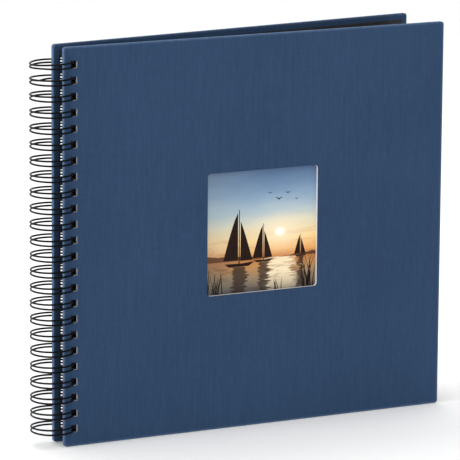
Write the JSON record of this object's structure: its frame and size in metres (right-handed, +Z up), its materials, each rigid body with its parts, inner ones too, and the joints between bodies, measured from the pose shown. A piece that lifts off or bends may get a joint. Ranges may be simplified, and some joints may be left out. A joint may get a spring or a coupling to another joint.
{
  "type": "scrapbook album",
  "caption": "Square cloth-covered scrapbook album with a framed window in its front cover, black card leaves and a twin-loop wire spine, standing slightly open.",
  "frame": {"origin": "middle of the footprint, at the covers' lower edges", "axes": "+Z up along the spine, +X from the wire to the fore edge, -Y out of the front cover"},
  "size_m": [0.3654, 0.0663, 0.32],
  "materials": {
    "bookcloth_blue": "linen weave, matte",
    "board_core": "raw cut board",
    "endpaper_black": "matte",
    "black_card": "matte card",
    "wire_black": "satin coated wire",
    "photo_print": "semi-gloss print"
  },
  "bodies": {
    "back_and_wire": {"back_cover_board": "board_core", "back_cover_cloth": "bookcloth_blue", "back_cover_endpaper": "endpaper_black", "wire_binding": "wire_black"},
    "front_cover": {"front_cover_board": "board_core", "front_cover_cloth": "bookcloth_blue", "front_cover_endpaper": "endpaper_black", "cover_photo": "photo_print"},
    "leaf_01": {"leaf_01": "black_card"},
    "leaf_02": {"leaf_02": "black_card"},
    "leaf_03": {"leaf_03": "black_card"},
    "leaf_04": {"leaf_04": "black_card"},
    "leaf_05": {"leaf_05": "black_card"},
    "leaf_06": {"leaf_06": "black_card"},
    "leaf_07": {"leaf_07": "black_card"},
    "leaf_08": {"leaf_08": "black_card"},
    "leaf_09": {"leaf_09": "black_card"},
    "leaf_10": {"leaf_10": "black_card"},
    "leaf_11": {"leaf_11": "black_card"},
    "leaf_12": {"leaf_12": "black_card"},
    "leaf_13": {"leaf_13": "black_card"},
    "leaf_14": {"leaf_14": "black_card"},
    "leaf_15": {"leaf_15": "black_card"},
    "leaf_16": {"leaf_16": "black_card"},
    "leaf_17": {"leaf_17": "black_card"},
    "leaf_18": {"leaf_18": "black_card"},
    "leaf_19": {"leaf_19": "black_card"},
    "leaf_20": {"leaf_20": "black_card"}
  },
  "joints": [
    {"name": "leaf_20_turn", "type": "hinge", "parent": "back_and_wire", "child": "leaf_20", "pos_m": [-0.16502, 0.01548, 0.16], "axis": [0, 0, -1], "range_deg": [0, 180]},
    {"name": "leaf_19_turn", "type": "hinge", "parent": "leaf_20", "child": "leaf_19", "pos_m": [-0.16502, 0.01548, 0.16], "axis": [0, 0, -1], "range_deg": [0, 180]},
    {"name": "leaf_18_turn", "type": "hinge", "parent": "leaf_19", "child": "leaf_18", "pos_m": [-0.16502, 0.01548, 0.16], "axis": [0, 0, -1], "range_deg": [0, 180]},
    {"name": "leaf_17_turn", "type": "hinge", "parent": "leaf_18", "child": "leaf_17", "pos_m": [-0.16502, 0.01548, 0.16], "axis": [0, 0, -1], "range_deg": [0, 180]},
    {"name": "leaf_16_turn", "type": "hinge", "parent": "leaf_17", "child": "leaf_16", "pos_m": [-0.16502, 0.01548, 0.16], "axis": [0, 0, -1], "range_deg": [0, 180]},
    {"name": "leaf_15_turn", "type": "hinge", "parent": "leaf_16", "child": "leaf_15", "pos_m": [-0.16502, 0.01548, 0.16], "axis": [0, 0, -1], "range_deg": [0, 180]},
    {"name": "leaf_14_turn", "type": "hinge", "parent": "leaf_15", "child": "leaf_14", "pos_m": [-0.16502, 0.01548, 0.16], "axis": [0, 0, -1], "range_deg": [0, 180]},
    {"name": "leaf_13_turn", "type": "hinge", "parent": "leaf_14", "child": "leaf_13", "pos_m": [-0.16502, 0.01548, 0.16], "axis": [0, 0, -1], "range_deg": [0, 180]},
    {"name": "leaf_12_turn", "type": "hinge", "parent": "leaf_13", "child": "leaf_12", "pos_m": [-0.16502, 0.01548, 0.16], "axis": [0, 0, -1], "range_deg": [0, 180]},
    {"name": "leaf_11_turn", "type": "hinge", "parent": "leaf_12", "child": "leaf_11", "pos_m": [-0.16502, 0.01548, 0.16], "axis": [0, 0, -1], "range_deg": [0, 180]},
    {"name": "leaf_10_turn", "type": "hinge", "parent": "leaf_11", "child": "leaf_10", "pos_m": [-0.16502, 0.01548, 0.16], "axis": [0, 0, -1], "range_deg": [0, 180]},
    {"name": "leaf_09_turn", "type": "hinge", "parent": "leaf_10", "child": "leaf_09", "pos_m": [-0.16502, 0.01548, 0.16], "axis": [0, 0, -1], "range_deg": [0, 180]},
    {"name": "leaf_08_turn", "type": "hinge", "parent": "leaf_09", "child": "leaf_08", "pos_m": [-0.16502, 0.01548, 0.16], "axis": [0, 0, -1], "range_deg": [0, 180]},
    {"name": "leaf_07_turn", "type": "hinge", "parent": "leaf_08", "child": "leaf_07", "pos_m": [-0.16502, 0.01548, 0.16], "axis": [0, 0, -1], "range_deg": [0, 180]},
    {"name": "leaf_06_turn", "type": "hinge", "parent": "leaf_07", "child": "leaf_06", "pos_m": [-0.16502, 0.01548, 0.16], "axis": [0, 0, -1], "range_deg": [0, 180]},
    {"name": "leaf_05_turn", "type": "hinge", "parent": "leaf_06", "child": "leaf_05", "pos_m": [-0.16502, 0.01548, 0.16], "axis": [0, 0, -1], "range_deg": [0, 180]},
    {"name": "leaf_04_turn", "type": "hinge", "parent": "leaf_05", "child": "leaf_04", "pos_m": [-0.16502, 0.01548, 0.16], "axis": [0, 0, -1], "range_deg": [0, 180]},
    {"name": "leaf_03_turn", "type": "hinge", "parent": "leaf_04", "child": "leaf_03", "pos_m": [-0.16502, 0.01548, 0.16], "axis": [0, 0, -1], "range_deg": [0, 180]},
    {"name": "leaf_02_turn", "type": "hinge", "parent": "leaf_03", "child": "leaf_02", "pos_m": [-0.16502, 0.01548, 0.16], "axis": [0, 0, -1], "range_deg": [0, 180]},
    {"name": "leaf_01_turn", "type": "hinge", "parent": "leaf_02", "child": "leaf_01", "pos_m": [-0.16502, 0.01548, 0.16], "axis": [0, 0, -1], "range_deg": [0, 180]},
    {"name": "front_cover_turn", "type": "hinge", "parent": "leaf_01", "child": "front_cover", "pos_m": [-0.16502, 0.01548, 0.16], "axis": [0, 0, -1], "range_deg": [-6.4, 180]}
  ]
}
